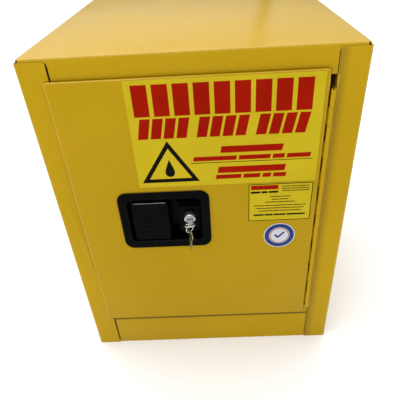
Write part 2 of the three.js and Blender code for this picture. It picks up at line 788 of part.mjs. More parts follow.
function buildDoorLiner() {
  const front = -DOOR_PROUD + SHEET + GAP;
  const outside = block(boxLeft, boxRight, front, DOOR_THICKNESS, boxBottom, boxTop);
  const inside = block(
    boxLeft + SHEET,
    boxRight - SHEET,
    front - 1,
    DOOR_THICKNESS - SHEET,
    boxBottom + SHEET,
    boxTop - SHEET,
  );
  const boltSlot = aroundBolt(boxLeft - 1, boxLeft + SHEET + 1, 0.8);
  const holeRadius = ROD_GUIDE_NECK + 0.4;
  const topHole = bar("z", topRodX, ROD_DEPTH, holeRadius, boxTop - 3, boxTop + 1);
  const bottomHole = bar("z", bottomRodX, ROD_DEPTH, holeRadius, boxBottom - 1, boxBottom + 3);
  return cut(outside, [inside, boltSlot, topHole, bottomHole]);
}

add(door, "door_liner", buildDoorLiner(), paint);

const stickerBack = -DOOR_PROUD - GAP;
const stickerFront = stickerBack - STICKER;

function buildSticker([left, right, bottom, top]) {
  const outline = roundedRectangle(
    (left + right) / 2,
    (bottom + top) / 2,
    right - left,
    top - bottom,
    STICKER_CORNER,
  );
  return prism(outline, "y", stickerFront, stickerBack, 2);
}

add(door, "warning_sticker", buildSticker(WARNING_STICKER), stickerYellow);
add(door, "data_sticker", buildSticker(DATA_STICKER), stickerYellow);
const round = ROUND_STICKER;
const roundSticker = bar("y", round.x, round.z, round.radius, stickerFront, stickerBack, 36);
add(door, "round_sticker", roundSticker, stickerWhite);

// ---------- latch dish ----------

// A rounded rectangle that narrows with depth, as the dish's walls do.
function taperedBlock(width, height, corner, from, to, narrowing) {
  const steps = 4;
  const geometry = new THREE.ExtrudeGeometry(roundedRectangle(0, 0, width, height, corner), {
    depth: 1,
    bevelEnabled: false,
    curveSegments: steps,
  });
  const position = geometry.getAttribute("position");
  for (let i = 0; i < position.count; i++) {
    const u = position.getX(i);
    const v = position.getY(i);
    const atFloor = 1 - position.getZ(i);
    const x = LATCH_X + u * (1 - (atFloor * 2 * narrowing) / width);
    const z = LATCH_Z + v * (1 - (atFloor * 2 * narrowing) / height);
    position.setXYZ(i, x, from + atFloor * (to - from), z);
  }
  return solid(geometry);
}

const dishLow = LATCH_Z - DISH_HEIGHT / 2;
const dishHigh = LATCH_Z + DISH_HEIGHT / 2;
const paddleBore = bar("z", PADDLE_AXIS_X, PADDLE_AXIS_DEPTH, PIN_RADIUS + GAP, dishLow, dishHigh, 12);

function buildDish() {
  const rim = prism(
    roundedRectangle(LATCH_X, LATCH_Z, DISH_WIDTH, DISH_HEIGHT, DISH_CORNER),
    "y",
    DISH_RIM_FRONT,
    -DOOR_PROUD - GAP,
    4,
  );
  const shell = taperedBlock(
    MOUTH_WIDTH + 2 * DISH_WALL,
    MOUTH_HEIGHT + 2 * DISH_WALL,
    MOUTH_CORNER + DISH_WALL,
    DISH_RIM_FRONT + 1,
    DISH_FLOOR + 2,
    DISH_DRAFT,
  );
  const recess = taperedBlock(
    MOUTH_WIDTH,
    MOUTH_HEIGHT,
    MOUTH_CORNER,
    DISH_RIM_FRONT - 1,
    DISH_FLOOR,
    DISH_DRAFT,
  );
  const boss = union([
    prism(roundedRectangle(BOSS_X, BOSS_Z, 30, 50, 3), "y", BOSS_FRONT, DISH_FLOOR + 1, 2),
    prism(roundedRectangle(BOSS_X, BOSS_Z, 35, 58, 4), "y", BOSS_FRONT + BOSS_STEP, DISH_FLOOR + 1, 2),
  ]);
  const lockBore = bar("y", LOCK_X, LOCK_Z, LOCK_RADIUS + GAP, 0, 30, 32);
  const tailSlot = block(
    PADDLE_AXIS_X - TAIL_THICKNESS / 2 - 0.8,
    PADDLE_AXIS_X + TAIL_SWEEP,
    DISH_FLOOR - 1,
    30,
    TAIL_BOTTOM - 1,
    TAIL_TOP + 1,
  );
  return cut(rim.add(shell).subtract(recess).add(boss), [lockBore, tailSlot, paddleBore]);
}

add(door, "latch_pan", buildDish(), blackPlastic);

// ---------- paddle ----------

function buildPaddle() {
  const middleZ = (PADDLE_BOTTOM + PADDLE_TOP) / 2;
  const height = PADDLE_TOP - PADDLE_BOTTOM;
  const plateLeft = PADDLE_AXIS_X + 1.5;
  const plate = prism(
    roundedRectangle((plateLeft + PADDLE_RIGHT) / 2, middleZ, PADDLE_RIGHT - plateLeft, height, 3),
    "y",
    PADDLE_FRONT,
    PADDLE_FRONT + PADDLE_THICKNESS,
    3,
  );
  const insideFace = PADDLE_FRONT + 2; // within the plate, so that the pieces behind it join it
  const gripLip = block(
    PADDLE_RIGHT - 3,
    PADDLE_RIGHT,
    insideFace,
    PADDLE_FRONT + PADDLE_THICKNESS + 3.5,
    PADDLE_BOTTOM + 4,
    PADDLE_TOP - 4,
  );
  const barrelSpans = [
    [PADDLE_BOTTOM + 2, SPRING_BOTTOM],
    [SPRING_TOP, PADDLE_TOP - 2],
  ];
  const barrels = barrelSpans.flatMap(([from, to]) => [
    bar("z", PADDLE_AXIS_X, PADDLE_AXIS_DEPTH, 3, from, to, 16),
    block(PADDLE_AXIS_X, PADDLE_AXIS_X + 5, insideFace, PADDLE_AXIS_DEPTH + 1.5, from, to),
  ]);
  const tail = block(
    PADDLE_AXIS_X - TAIL_THICKNESS / 2,
    PADDLE_AXIS_X + TAIL_THICKNESS / 2,
    PADDLE_AXIS_DEPTH,
    TAIL_END,
    TAIL_BOTTOM,
    TAIL_TOP,
  );
  const springPocket = block(
    PADDLE_AXIS_X - 5,
    PADDLE_AXIS_X + 5,
    PADDLE_AXIS_DEPTH - 3.8,
    PADDLE_AXIS_DEPTH + 6,
    SPRING_BOTTOM,
    SPRING_TOP,
  );
  return cut(union([plate, gripLip, ...barrels, tail]), [springPocket, paddleBore]);
}

add(door, "paddle", buildPaddle(), blackPlastic);
const pinHalf = MOUTH_HEIGHT / 2 + 2.5;
const paddlePin = bar(
  "z",
  PADDLE_AXIS_X,
  PADDLE_AXIS_DEPTH,
  PIN_RADIUS,
  LATCH_Z - pinHalf,
  LATCH_Z + pinHalf,
  12,
);
add(door, "paddle_pin", paddlePin, steel);

class Helix extends THREE.Curve {
  constructor(radius, height, turns) {
    super();
    this.radius = radius;
    this.height = height;
    this.turns = turns;
  }
  getPoint(t, target = new THREE.Vector3()) {
    const angle = 2 * Math.PI * this.turns * t;
    return target.set(this.radius * Math.cos(angle), this.radius * Math.sin(angle), this.height * t);
  }
}

function buildSpring() {
  const turns = 6;
  const wire = 0.45;
  const endSpace = 1.5;
  const geometry = new THREE.ExtrudeGeometry(circle(0, 0, wire), {
    steps: turns * 10,
    bevelEnabled: false,
    curveSegments: 3,
    extrudePath: new Helix(2.4, SPRING_TOP - SPRING_BOTTOM - 2 * endSpace, turns),
  });
  geometry.translate(PADDLE_AXIS_X, PADDLE_AXIS_DEPTH, SPRING_BOTTOM + endSpace);
  return solid(geometry);
}

add(door, "paddle_spring", buildSpring(), steel);

// ---------- hub, bolt and rods behind the dish ----------

const bracketFront = DISH_FLOOR + 2 + GAP;
const bracketOutline = roundedRectangle(LATCH_X - 2, LATCH_Z, 44, 60, 6);
const bracketPlate = prism(bracketOutline, "y", bracketFront, bracketFront + SHEET, 2);
const stud = bar("y", LATCH_X, LATCH_Z, STUD_RADIUS, bracketFront, STUD_END, 20);
add(door, "latch_bracket", bracketPlate.add(stud), steel);

const clipFront = HUB_FRONT + HUB_THICKNESS + GAP;
const clipBack = clipFront + 0.8;
const clipRing = bar("y", LATCH_X, LATCH_Z, 7.5, clipFront, clipBack, 20);
const clipBore = bar("y", LATCH_X, LATCH_Z, STUD_RADIUS + GAP, clipFront - 1, clipBack + 1, 20);
add(door, "hub_clip", clipRing.subtract(clipBore), steel);

// A hub pin's place: angle is clockwise from straight up, seen from the front.
function hubPin(angle) {
  return [LATCH_X + HUB_PIN_CIRCLE * Math.sin(angle), LATCH_Z + HUB_PIN_CIRCLE * Math.cos(angle)];
}

const pinAngles = {
  bolt: -HUB_HALF_TURN,
  top: Math.PI / 2 - HUB_HALF_TURN,
  bottom: -Math.PI / 2 - HUB_HALF_TURN,
};

function buildHub() {
  const back = HUB_FRONT + HUB_THICKNESS;
  const pieces = [bar("y", LATCH_X, LATCH_Z, 12, HUB_FRONT, back, 24)];
  const armOutline = roundedRectangle(
    0,
    HUB_PIN_CIRCLE / 2,
    HUB_ARM,
    HUB_PIN_CIRCLE + HUB_ARM,
    HUB_ARM / 2 - 0.1,
  );
  for (const angle of Object.values(pinAngles)) {
    const arm = new THREE.ExtrudeGeometry(armOutline, {
      depth: HUB_THICKNESS,
      bevelEnabled: false,
      curveSegments: 3,
    });
    arm.rotateX(Math.PI / 2);
    arm.rotateY(angle);
    arm.translate(LATCH_X, back, LATCH_Z);
    pieces.push(solid(arm));
    const [x, z] = hubPin(angle);
    pieces.push(bar("y", x, z, HUB_PIN_RADIUS, HUB_FRONT + 1, HUB_PIN_END, 12));
  }
  const bore = bar("y", LATCH_X, LATCH_Z, STUD_RADIUS + GAP, HUB_FRONT - 1, HUB_PIN_END, 20);
  return union(pieces).subtract(bore);
}

add(door, "latch_hub", buildHub(), zinc);

// The eye's slot is longer across the travel, because the hub pin moves on a circle.
const pinPlay = (HUB_PIN_CIRCLE * (1 - Math.cos(HUB_HALF_TURN))) / 2;
const slotAlong = 2 * (HUB_PIN_RADIUS + GAP);
const slotAcross = 2 * (HUB_PIN_RADIUS + pinPlay + GAP);
const slotCorner = HUB_PIN_RADIUS + 0.2;
const barBack = BAR_FRONT + BAR_THICKNESS;

function pinSlot(x, z, width, height) {
  return prism(roundedRectangle(x, z, width, height, slotCorner), "y", BAR_FRONT - 1, barBack + 1, 3);
}

function buildBolt() {
  const [pinX] = hubPin(pinAngles.bolt);
  const inEnd = pinX + 8;
  const plan = polygon([
    [BOLT_TIP_X, BAR_FRONT],
    [inEnd, BAR_FRONT],
    [inEnd, barBack],
    [BOLT_TIP_X + 7, barBack],
    [BOLT_TIP_X, BAR_FRONT + 0.8],
  ]);
  const body = prism(plan, "z", boltZ - BOLT_HEIGHT / 2, boltZ + BOLT_HEIGHT / 2);
  // The paddle's tail pushes this ear.
  const earX = PADDLE_AXIS_X + TAIL_THICKNESS / 2 + 1.2;
  const ear = block(earX, earX + 2.5, HUB_FRONT + 0.4, BAR_FRONT + 1, boltZ - 5.5, boltZ + 5);
  return body.add(ear).subtract(pinSlot(pinX, boltZ, slotAlong, slotAcross));
}

add(door, "latch_bolt", buildBolt(), zinc);

// A round rod with a flat eye at its hub end: away is +1 when the rod goes up, -1 when it goes down.
function buildRod(x, pinZ, tipZ, away) {
  const eyeHalf = 6;
  const eye = block(x - eyeHalf, x + eyeHalf, BAR_FRONT, barBack, pinZ - away * 6.5, pinZ + away * 14);
  const rodStart = pinZ + away * 9;
  const noseLength = 5;
  const shaft = bar("z", x, ROD_DEPTH, ROD_RADIUS, rodStart, tipZ - away * noseLength, 16);
  const nose = new THREE.CylinderGeometry(1.8, ROD_RADIUS, noseLength, 16);
  nose.rotateX((away * Math.PI) / 2);
  nose.translate(x, ROD_DEPTH, tipZ - (away * noseLength) / 2);
  return union([eye, shaft, solid(nose)]).subtract(pinSlot(x, pinZ, slotAcross, slotAlong));
}

const topTip = HEADER_Z + ROD_REACH;
const bottomTip = SILL_Z - ROD_REACH;
add(door, "latch_rod_top", buildRod(topRodX, LATCH_Z + pinRise, topTip, 1), zinc);
add(door, "latch_rod_bottom", buildRod(bottomRodX, LATCH_Z - pinRise, bottomTip, -1), zinc);

function buildRodGuide(x, wallInside, away) {
  const seat = wallInside - away * GAP;
  const neckEnd = wallInside + away * (SHEET + 1);
  const flange = bar("z", x, ROD_DEPTH, ROD_GUIDE_FLANGE, seat, seat - away * 2, 20);
  const neck = bar("z", x, ROD_DEPTH, ROD_GUIDE_NECK, seat - away, neckEnd, 20);
  const bore = bar("z", x, ROD_DEPTH, ROD_RADIUS + 0.4, wallInside - 10, wallInside + 10, 20);
  return flange.add(neck).subtract(bore);
}

add(door, "rod_guide_top", buildRodGuide(topRodX, boxTop - SHEET, 1), blackPlastic);
add(door, "rod_guide_bottom", buildRodGuide(bottomRodX, boxBottom + SHEET, -1), blackPlastic);

const guideLeft = boxLeft + SHEET + GAP;
const guideRight = guideLeft + 9;
const guideBack = DOOR_THICKNESS - SHEET - GAP;
const guideBlock = block(guideLeft, guideRight, BAR_FRONT - 3.5, guideBack, boltZ - 13, boltZ + 13);
const guideSlot = aroundBolt(guideLeft - 1, guideRight + 1, 0.4);
add(door, "bolt_guide", guideBlock.subtract(guideSlot), blackPlastic);

// ---------- lock ----------

const lock = groupAt(door, LOCK_X, 0, LOCK_Z);

// The housing's front end is a rounded shoulder round the plug.
const shoulder = [];
for (let i = 0; i <= LOCK_SHOULDER_STEPS; i++) {
  const turn = ((i / LOCK_SHOULDER_STEPS) * Math.PI) / 2;
  shoulder.push([
    LOCK_FACE_RADIUS + (LOCK_RADIUS - LOCK_FACE_RADIUS) * Math.sin(turn),
    LOCK_FRONT + LOCK_SHOULDER * (1 - Math.cos(turn)),
  ]);
}
const plugHole = PLUG_RADIUS + GAP;
const housingProfile = [[plugHole, LOCK_FRONT], ...shoulder, [LOCK_RADIUS, LOCK_END], [plugHole, LOCK_END]];
const housing = turned(housingProfile, 32);
add(lock, "lock_housing", housing, chrome);
const nutHex = bar("y", 0, 0, LOCK_RADIUS + 3.6, DISH_FLOOR + 2 + GAP, LOCK_END - 0.1, 6);
const nutHole = bar("y", 0, 0, LOCK_RADIUS + GAP, 0, 30, 32);
add(lock, "lock_nut", nutHex.subtract(nutHole), steel);

// The plug, its cam and the key turn together, and the key stands a little off level.
const turning = groupAt(lock, 0, 0, 0);
turning.rotation.y = KEY_TILT;

const plugBody = bar("y", 0, 0, PLUG_RADIUS, LOCK_FRONT - 0.6, LOCK_END + 0.1, 24);
const keyway = block(
  -BLADE_WIDTH / 2 - GAP,
  BLADE_WIDTH / 2 + GAP,
  LOCK_FRONT - 2,
  KEY_SHOULDER + BLADE_LENGTH + 1,
  -KEY_THICKNESS / 2 - GAP,
  KEY_THICKNESS / 2 + GAP,
);
const screwBore = bar("y", 0, 0, CAM_SCREW + 0.4, LOCK_END - 5, LOCK_END + 1, 12);
add(turning, "lock_plug", cut(plugBody, [keyway, screwBore]), chrome);

const camBack = LOCK_END + GAP + CAM_THICKNESS;

function buildCam() {
  const outline = roundedRectangle(
    0,
    CAM_LENGTH / 2,
    CAM_WIDTH,
    CAM_LENGTH + CAM_WIDTH,
    CAM_WIDTH / 2 - 0.1,
  );
  const arm = new THREE.ExtrudeGeometry(outline, {
    depth: CAM_THICKNESS,
    bevelEnabled: false,
    curveSegments: 3,
  });
  arm.rotateX(Math.PI / 2);
  arm.rotateY(CAM_REST - KEY_TILT);
  arm.translate(0, camBack, 0);
  const bore = bar("y", 0, 0, CAM_SCREW + 0.4, LOCK_END - 1, LOCK_END + 5, 12);
  return solid(arm).subtract(bore);
}

add(turning, "lock_cam", buildCam(), zinc);
const camScrewHead = bar("y", 0, 0, 4.5, camBack + GAP, camBack + GAP + 1.8, 16);
const camScrewShank = bar("y", 0, 0, CAM_SCREW, LOCK_END - 4.5, camBack + 1, 12);
add(turning, "cam_screw", camScrewHead.add(camScrewShank), steel);

// A key in its own frame: the blade points along +y from the shoulder at y = 0, flat in the xy plane.
function buildKey() {
  const half = KEY_THICKNESS / 2;
  const bow = prism(roundedRectangle(0, -BOW_LENGTH / 2, BOW_WIDTH, BOW_LENGTH, 6), "z", -half, half, 6);
  const edge = BLADE_WIDTH / 2;
  const blade = polygon([
    [-edge, -1],
    [edge, -1],
    [edge, BLADE_LENGTH - 3],
    [edge - 3, BLADE_LENGTH],
    [-edge + 2, BLADE_LENGTH],
    [-edge, BLADE_LENGTH - 3],
  ]);
  const holeOutline = roundedRectangle(
    0,
    -BOW_LENGTH + BOW_WEB + RING_HOLE_LENGTH / 2,
    RING_HOLE_WIDTH,
    RING_HOLE_LENGTH,
    RING_HOLE_LENGTH / 2 - 0.1,
  );
  const ringHole = prism(holeOutline, "z", -half - 1, half + 1, 4);
  return bow.add(prism(blade, "z", -half, half)).subtract(ringHole);
}

const keyGroup = groupAt(turning, 0, KEY_SHOULDER, 0);
add(keyGroup, "key", buildKey(), steel);

// The ring hangs on the web outside the key's hole, turned about the vertical.
const ringGroup = groupAt(keyGroup, 0, -BOW_LENGTH + BOW_WEB / 2, 0);
ringGroup.rotation.y = -KEY_TILT;
const ringTwist = groupAt(ringGroup, 0, 0, KEY_THICKNESS / 2 + RING_HANG + RING_WIRE - RING_RADIUS);
ringTwist.rotation.z = -RING_TWIST;

function buildRing() {
  const geometry = new THREE.TorusGeometry(RING_RADIUS, RING_WIRE, 8, 28);
  geometry.rotateY(Math.PI / 2);
  return solid(geometry);
}

add(ringTwist, "key_ring", buildRing(), chrome);

// The spare key hangs on the bottom of the ring, its blade down, and is turned a little further.
const spareGroup = groupAt(ringTwist, 0, 0, -RING_RADIUS + RING_WIRE + GAP + BOW_WEB - BOW_LENGTH);
spareGroup.rotation.set(-Math.PI / 2, 0, -SPARE_TWIST, "ZYX");
add(spareGroup, "spare_key", buildKey(), brass);

export default cabinet;
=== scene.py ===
import json
import math

import bmesh
import bpy
from mathutils import Matrix, Vector


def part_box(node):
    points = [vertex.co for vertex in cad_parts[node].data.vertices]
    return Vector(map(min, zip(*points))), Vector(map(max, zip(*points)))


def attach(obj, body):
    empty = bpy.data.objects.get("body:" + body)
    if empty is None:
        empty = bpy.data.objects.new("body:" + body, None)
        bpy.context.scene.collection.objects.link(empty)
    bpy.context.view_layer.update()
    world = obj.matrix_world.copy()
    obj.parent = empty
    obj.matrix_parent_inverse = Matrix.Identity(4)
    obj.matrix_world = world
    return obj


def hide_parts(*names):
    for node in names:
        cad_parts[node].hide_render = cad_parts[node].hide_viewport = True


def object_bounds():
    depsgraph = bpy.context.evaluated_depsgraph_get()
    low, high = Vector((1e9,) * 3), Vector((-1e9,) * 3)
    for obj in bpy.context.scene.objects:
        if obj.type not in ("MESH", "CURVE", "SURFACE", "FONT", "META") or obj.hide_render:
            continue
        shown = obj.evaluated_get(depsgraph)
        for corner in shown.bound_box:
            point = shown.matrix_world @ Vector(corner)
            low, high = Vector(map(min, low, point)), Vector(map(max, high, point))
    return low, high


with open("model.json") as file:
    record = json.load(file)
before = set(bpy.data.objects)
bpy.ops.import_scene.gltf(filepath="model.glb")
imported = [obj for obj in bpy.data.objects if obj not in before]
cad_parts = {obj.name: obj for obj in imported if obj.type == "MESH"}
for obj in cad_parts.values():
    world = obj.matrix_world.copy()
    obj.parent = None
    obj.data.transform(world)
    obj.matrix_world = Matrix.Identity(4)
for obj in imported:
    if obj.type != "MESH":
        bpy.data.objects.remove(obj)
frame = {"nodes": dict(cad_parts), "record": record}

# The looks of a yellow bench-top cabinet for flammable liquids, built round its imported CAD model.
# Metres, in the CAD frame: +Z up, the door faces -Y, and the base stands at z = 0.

CAD_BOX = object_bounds()
NODES = frame["nodes"]
MM = 0.001
FULL_TURN = 2 * math.pi

SLOT_OF = {part["node"]: part["material_slot"] for part in frame["record"]["subparts"]}
BODY_OF = {
    node: body for body, members in frame["record"]["behaviour"]["bodies"].items() for node in members
}

# ---------- shader nodes ----------


def rgb(r, g, b):
    return (r, g, b, 1.0)


def tinted(color, tone):
    return rgb(*[part * tone for part in color])


def socket_name(word):
    """A shader socket's name from an argument's: specular_ior_level gives Specular IOR Level."""
    return word.replace("_", " ").title().replace("Ior", "IOR")


class Nodes:
    """Adds nodes to one tree and links them; an input is a plain value or another node's output."""

    def __init__(self, tree):
        self.tree = tree

    def fill(self, socket, value):
        if isinstance(value, bpy.types.NodeSocket):
            self.tree.links.new(value, socket)
        else:
            socket.default_value = value

    def node(self, kind, inputs=None, **settings):
        made = self.tree.nodes.new("ShaderNode" + kind)
        for key, value in settings.items():
            setattr(made, key, value)
        for key, value in (inputs or {}).items():
            self.fill(made.inputs[key], value)
        return made

    def between(self, value, low, high, to_low=0.0, to_high=1.0):
        """value from low..high, spread over to_low..to_high and held at both ends."""
        inputs = {"Value": value, "From Min": low, "From Max": high, "To Min": to_low, "To Max": to_high}
        return self.node("MapRange", inputs).outputs["Result"]

    def math(self, operation, *values):
        return self.node("Math", dict(enumerate(values)), operation=operation).outputs[0]

    def split(self, vector):
        return self.node("SeparateXYZ", {"Vector": vector}).outputs


class Shader(Nodes):
    """One procedural material: a Principled surface and the nodes that feed it."""

    def __init__(self, name, **fixed):
        self.material = bpy.data.materials.new(name)
        self.material.use_nodes = True
        super().__init__(self.material.node_tree)
        self.surface = self.tree.nodes["Principled BSDF"]
        for key, value in fixed.items():
            self.surface.inputs[socket_name(key)].default_value = value
        self.place = self.node("TexCoord").outputs["Object"]

    def stretched(self, scale):
        return self.node("Mapping", {"Vector": self.place, "Scale": scale}).outputs["Vector"]

    def noise(self, scale, detail=3.0, rough=0.5, place=None):
        inputs = {"Vector": place or self.place, "Scale": scale, "Detail": detail, "Roughness": rough}
        return self.node("TexNoise", inputs).outputs["Fac"]

    def blend(self, share, a, b):
        """Colour a where share is 0 and b where it is 1, by the sockets of Mix's colour version."""
        return self.node("Mix", {0: share, 6: a, 7: b}, data_type="RGBA").outputs[2]

    def bump(self, height, distance, strength, under=None):
        """A normal raised by height, on top of the normal under it."""
        inputs = {"Height": height, "Distance": distance, "Strength": strength}
        if under is not None:
            inputs["Normal"] = under
        return self.node("Bump", inputs).outputs["Normal"]

    def feed(self, **outputs):
        for key, value in outputs.items():
            self.tree.links.new(value, self.surface.inputs[socket_name(key)])
        return self.material


# ---------- materials ----------

YELLOW_DEEP = (0.490, 0.301, 0.0022)
YELLOW_PALE = (0.524, 0.326, 0.0040)
HANDLING = (0.34, 0.20, 0.010)
# the colour that bands of painted shadow darken the paint towards
SHADOW_TONE = (0.060, 0.034, 0.010)
# the colour that painted shade on folds darkens the paint towards
FOLD_SHADE = (0.050, 0.028, 0.008)
CHIPPED = (0.16, 0.10, 0.045)
BLACK_DEEP = (0.0011, 0.0011, 0.0015)
BLACK_DUSTY = (0.0032, 0.0030, 0.0028)
PEEL_SCALE = 420.0  # orange peel of the paint, which the stickers show through


def make_paint(name, chips=0.0, coat=0.025, shine=0.06, painted_shade=0.0, tone=1.0, shadow_band=None):
    """Gloss powder coat: orange peel, slightly uneven colour, handling marks and, on edges, small chips.

    chips and painted_shade are how much of each shows, coat and shine how glossy it is, and tone how light.
    painted_shade darkens the paint in a mottle, as painted shade. shadow_band is a band of painted shadow:
    the axis it is measured along, its start and end, how far it fades and how dark.
    """
    look = Shader(name, coat_weight=coat, coat_roughness=0.1, specular_ior_level=shine)
    clouds = look.between(look.noise(4.0), 0.35, 0.7)
    color = look.blend(clouds, tinted(YELLOW_DEEP, tone), tinted(YELLOW_PALE, tone))
    smudges = look.noise(13.0, 6.0, 0.6, look.stretched((1.0, 1.0, 0.55)))
    color = look.blend(look.between(smudges, 0.56, 0.80, 0.0, 0.12), color, rgb(*HANDLING))
    # a band of painted shadow, darkest between its start and end
    if shadow_band:
        axis, start, end, fade, amount = shadow_band
        along = look.split(look.place)[axis]
        begun = look.between(along, start - fade, start)
        left = look.between(along, end, end + fade, amount, 0.0)
        color = look.blend(look.math("MULTIPLY", begun, left), color, rgb(*SHADOW_TONE))
    # painted shade in a mottle, for folds that look down or towards the hinge
    if painted_shade:
        shaded = look.between(look.noise(60.0), 0.25, 0.6, 0.6 * painted_shade, painted_shade)
        color = look.blend(shaded, color, rgb(*FOLD_SHADE))
    if chips:
        flakes = look.between(look.noise(PEEL_SCALE, 3.0, 0.6), 0.62 - chips, 0.66 - chips)
        runs = look.between(look.noise(30.0, 2.0), 0.52, 0.60)
        color = look.blend(look.math("MULTIPLY", flakes, runs), color, rgb(*CHIPPED))
    peel = look.bump(look.noise(PEEL_SCALE, 2.0, 0.45), 0.04 * MM, 0.2)
    waves = look.bump(look.noise(38.0, 2.0, 0.4), 0.3 * MM, 0.3, peel)
    roughness = look.between(smudges, 0.3, 0.75, 0.13, 0.26)
    return look.feed(base_color=color, roughness=roughness, normal=waves)


def make_black(name, shine=0.03, highlight_lift=1.0):
    """Satin black moulding with a fine spark-eroded grain and a little dust, paler as a painted highlight.
    """
    look = Shader(name, specular_ior_level=shine)
    dust = look.between(look.noise(36.0, 6.0, 0.65), 0.55, 0.85)
    # the lift pales the whole moulding; above one it makes a painted highlight
    color = look.blend(dust, tinted(BLACK_DEEP, highlight_lift), tinted(BLACK_DUSTY, highlight_lift))
    roughness = look.between(look.noise(60.0, 4.0), 0.3, 0.7, 0.20, 0.34)
    grain = look.bump(look.noise(3200.0, 2.0, 0.6), 0.03 * MM, 0.35)
    return look.feed(base_color=color, roughness=roughness, normal=grain)


def make_metal(name, light, dark, rough, grain=(1.0, 1.0, 1.0), depth=0.01 * MM, spots=0.0):
    """Bare metal with a lay: grain stretches its fine scratches, and spots is how far it has dulled."""
    look = Shader(name, metallic=1.0)
    tone = look.between(look.noise(45.0, 5.0, 0.6), 0.32, 0.7)
    color = look.blend(tone, rgb(*dark), rgb(*light))
    if spots:
        dull = look.between(look.noise(230.0, 4.0, 0.6), 0.60, 0.74, 0.0, spots)
        color = look.blend(dull, color, tinted(dark, 0.35))
    lay = look.noise(900.0, 3.0, 0.6, look.stretched(grain))
    roughness = look.between(lay, 0.25, 0.75, rough * 0.8, rough * 1.25)
    return look.feed(base_color=color, roughness=roughness, normal=look.bump(lay, depth, 0.5))


def make_zinc(name):
    """Bright zinc plate with the faint spangle of galvanised sheet."""
    look = Shader(name, metallic=0.9)
    spangle = look.node("TexVoronoi", {"Vector": look.place, "Scale": 130.0}, feature="F1").outputs["Color"]
    shade = look.node("SeparateColor", {"Color": spangle}).outputs[0]
    darker = look.between(shade, 0.0, 1.0, 0.0, 0.6)
    color = look.blend(darker, rgb(0.60, 0.62, 0.63), rgb(0.46, 0.48, 0.50))
    roughness = look.between(shade, 0.0, 1.0, 0.34, 0.48)
    grain = look.bump(look.noise(1500.0, 2.0), 0.01 * MM, 0.5)
    return look.feed(base_color=color, roughness=roughness, normal=grain)


def make_vinyl(name, light, dark, rough=0.3, shine=0.08):
    """Printed vinyl: a thin glossy film that shows a little of the surface under it."""
    look = Shader(name, specular_ior_level=shine)
    color = look.blend(look.between(look.noise(24.0, 4.0), 0.35, 0.7), rgb(*dark), rgb(*light))
    roughness = look.between(look.noise(70.0, 4.0), 0.3, 0.7, rough * 0.85, rough * 1.3)
    peel = look.bump(look.noise(PEEL_SCALE, 2.0), 0.06 * MM, 0.3)
    return look.feed(base_color=color, roughness=roughness, normal=peel)


def make_rubber(name):
    """Dull black rubber, paler where it has dried."""
    look = Shader(name)
    dried = look.between(look.noise(80.0, 4.0), 0.4, 0.8)
    color = look.blend(dried, rgb(0.018, 0.018, 0.019), rgb(0.05, 0.048, 0.045))
    roughness = look.between(look.noise(160.0), 0.3, 0.7, 0.62, 0.85)
    grain = look.bump(look.noise(1800.0), 0.05 * MM, 0.6)
    return look.feed(base_color=color, roughness=roughness, normal=grain)


def make_floor(name):
    """A pale, almost matt studio floor."""
    look = Shader(name, specular_ior_level=0.2)
    clouds = look.between(look.noise(1.5), 0.3, 0.7)
    color = look.blend(clouds, rgb(0.93, 0.93, 0.93), rgb(0.96, 0.96, 0.96))
    roughness = look.between(look.noise(6.0), 0.2, 0.8, 0.7, 0.85)
    return look.feed(base_color=color, roughness=roughness)


# the lay of a metal: its scratches are long where the scale along x, y or z is small
UPRIGHT = (1.0, 1.0, 0.12)
PARTLY_UPRIGHT = (1.0, 1.0, 0.3)
ACROSS = (0.3, 1.0, 1.0)
FORE_AND_AFT = (1.0, 0.2, 1.0)

# bands of painted shadow, as make_paint takes them
DOOR_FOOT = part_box("door_skin")[0].z
BARREL_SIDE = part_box("hinge_leaf_door")[1].x
# painted shadow on the sill, just under the door's lower edge
SHADOW_UNDER_DOOR = ("Z", DOOR_FOOT - 8.5 * MM, DOOR_FOOT - 6 * MM, 2 * MM, 0.75)
# painted shadow on the right stile beside the hinge barrel, fading away from it
SHADOW_BESIDE_HINGE = ("X", BARREL_SIDE - 3 * MM, BARREL_SIDE + 1 * MM, 14 * MM, 0.45)

PAINT = make_paint("paint_yellow")
PAINT_BEND = make_paint("paint_yellow_bend", coat=0.25, shine=0.35)
PAINT_EDGE = make_paint("paint_yellow_edge", chips=0.015, coat=0.25, shine=0.35)
# darker and without gloss: painted shade on folds that look down or towards the hinge
PAINT_SHADED_FOLD = make_paint("paint_yellow_shaded_fold", coat=0.0, shine=0.0, painted_shade=0.9)
PAINT_DOOR = make_paint("paint_yellow_door", tone=0.92)
# the sill's paint, with its band of painted shadow under the door
PAINT_SILL_SHADOWED = make_paint("paint_yellow_sill_shadowed", shadow_band=SHADOW_UNDER_DOOR)
# the right stile's paint, with its band of painted shadow beside the hinge
PAINT_STILE_SHADOWED = make_paint("paint_yellow_stile_shadowed", shadow_band=SHADOW_BESIDE_HINGE)
BLACK = make_black("black_moulding")
# a paler black, painted as a highlight on the latch pan's long upper edges
BLACK_HIGHLIGHT = make_black("black_painted_highlight", shine=0.5, highlight_lift=12.0)
